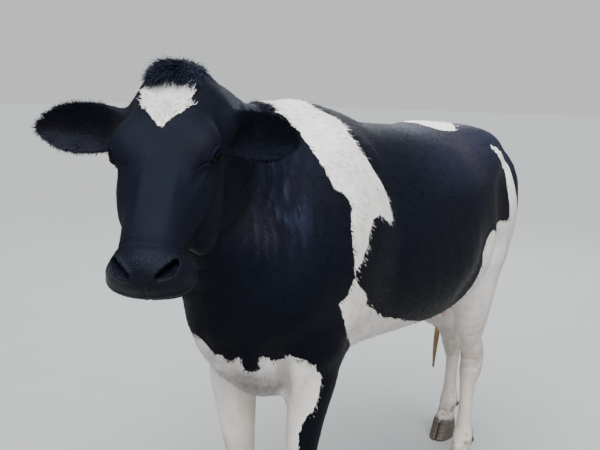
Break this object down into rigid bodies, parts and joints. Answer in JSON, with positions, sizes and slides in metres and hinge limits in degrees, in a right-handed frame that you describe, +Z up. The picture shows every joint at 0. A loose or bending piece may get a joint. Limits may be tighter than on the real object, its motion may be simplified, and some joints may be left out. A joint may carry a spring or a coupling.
{
  "type": "cow",
  "caption": "Life-size still model of a standing dairy cow, head turned to her left, hind feet apart, tail hanging to her right.",
  "frame": {"origin": "on the floor, under the middle of the whole model's bounding box", "axes": "she faces -Y, her left side is +X, and +Z is up"},
  "size_m": [0.6902, 2.3556, 1.6699],
  "materials": {
    "black_coat": "short glossy black hair",
    "white_coat": "short matt white hair, a little dirty low down",
    "muzzle_skin": "moist, finely pebbled dark skin",
    "udder_skin": "thin pale skin with sparse hair",
    "horn": "satin claw horn",
    "eye": "wet, dark brown",
    "switch_hair": "long coarse straw-coloured hair"
  },
  "bodies": {
    "root": {"head": "black_coat", "jaw": "muzzle_skin", "ear_left": "black_coat", "ear_right": "black_coat", "eye_left": "eye", "eye_right": "eye", "neck": "black_coat", "trunk": "black_coat", "udder": "udder_skin", "tail": "black_coat", "tail_switch": "switch_hair", "foreleg_left_upper": "white_coat", "foreleg_left_lower": "white_coat", "claw_fore_left_outer": "horn", "dewclaw_fore_left_outer": "horn", "claw_fore_left_inner": "horn", "dewclaw_fore_left_inner": "horn", "foreleg_right_upper": "white_coat", "foreleg_right_lower": "white_coat", "claw_fore_right_outer": "horn", "dewclaw_fore_right_outer": "horn", "claw_fore_right_inner": "horn", "dewclaw_fore_right_inner": "horn", "hindleg_left_upper": "white_coat", "hindleg_left_lower": "white_coat", "claw_hind_left_outer": "horn", "dewclaw_hind_left_outer": "horn", "claw_hind_left_inner": "horn", "dewclaw_hind_left_inner": "horn", "hindleg_right_upper": "white_coat", "hindleg_right_lower": "white_coat", "claw_hind_right_outer": "horn", "dewclaw_hind_right_outer": "horn", "claw_hind_right_inner": "horn", "dewclaw_hind_right_inner": "horn"}
  },
  "joints": []
}
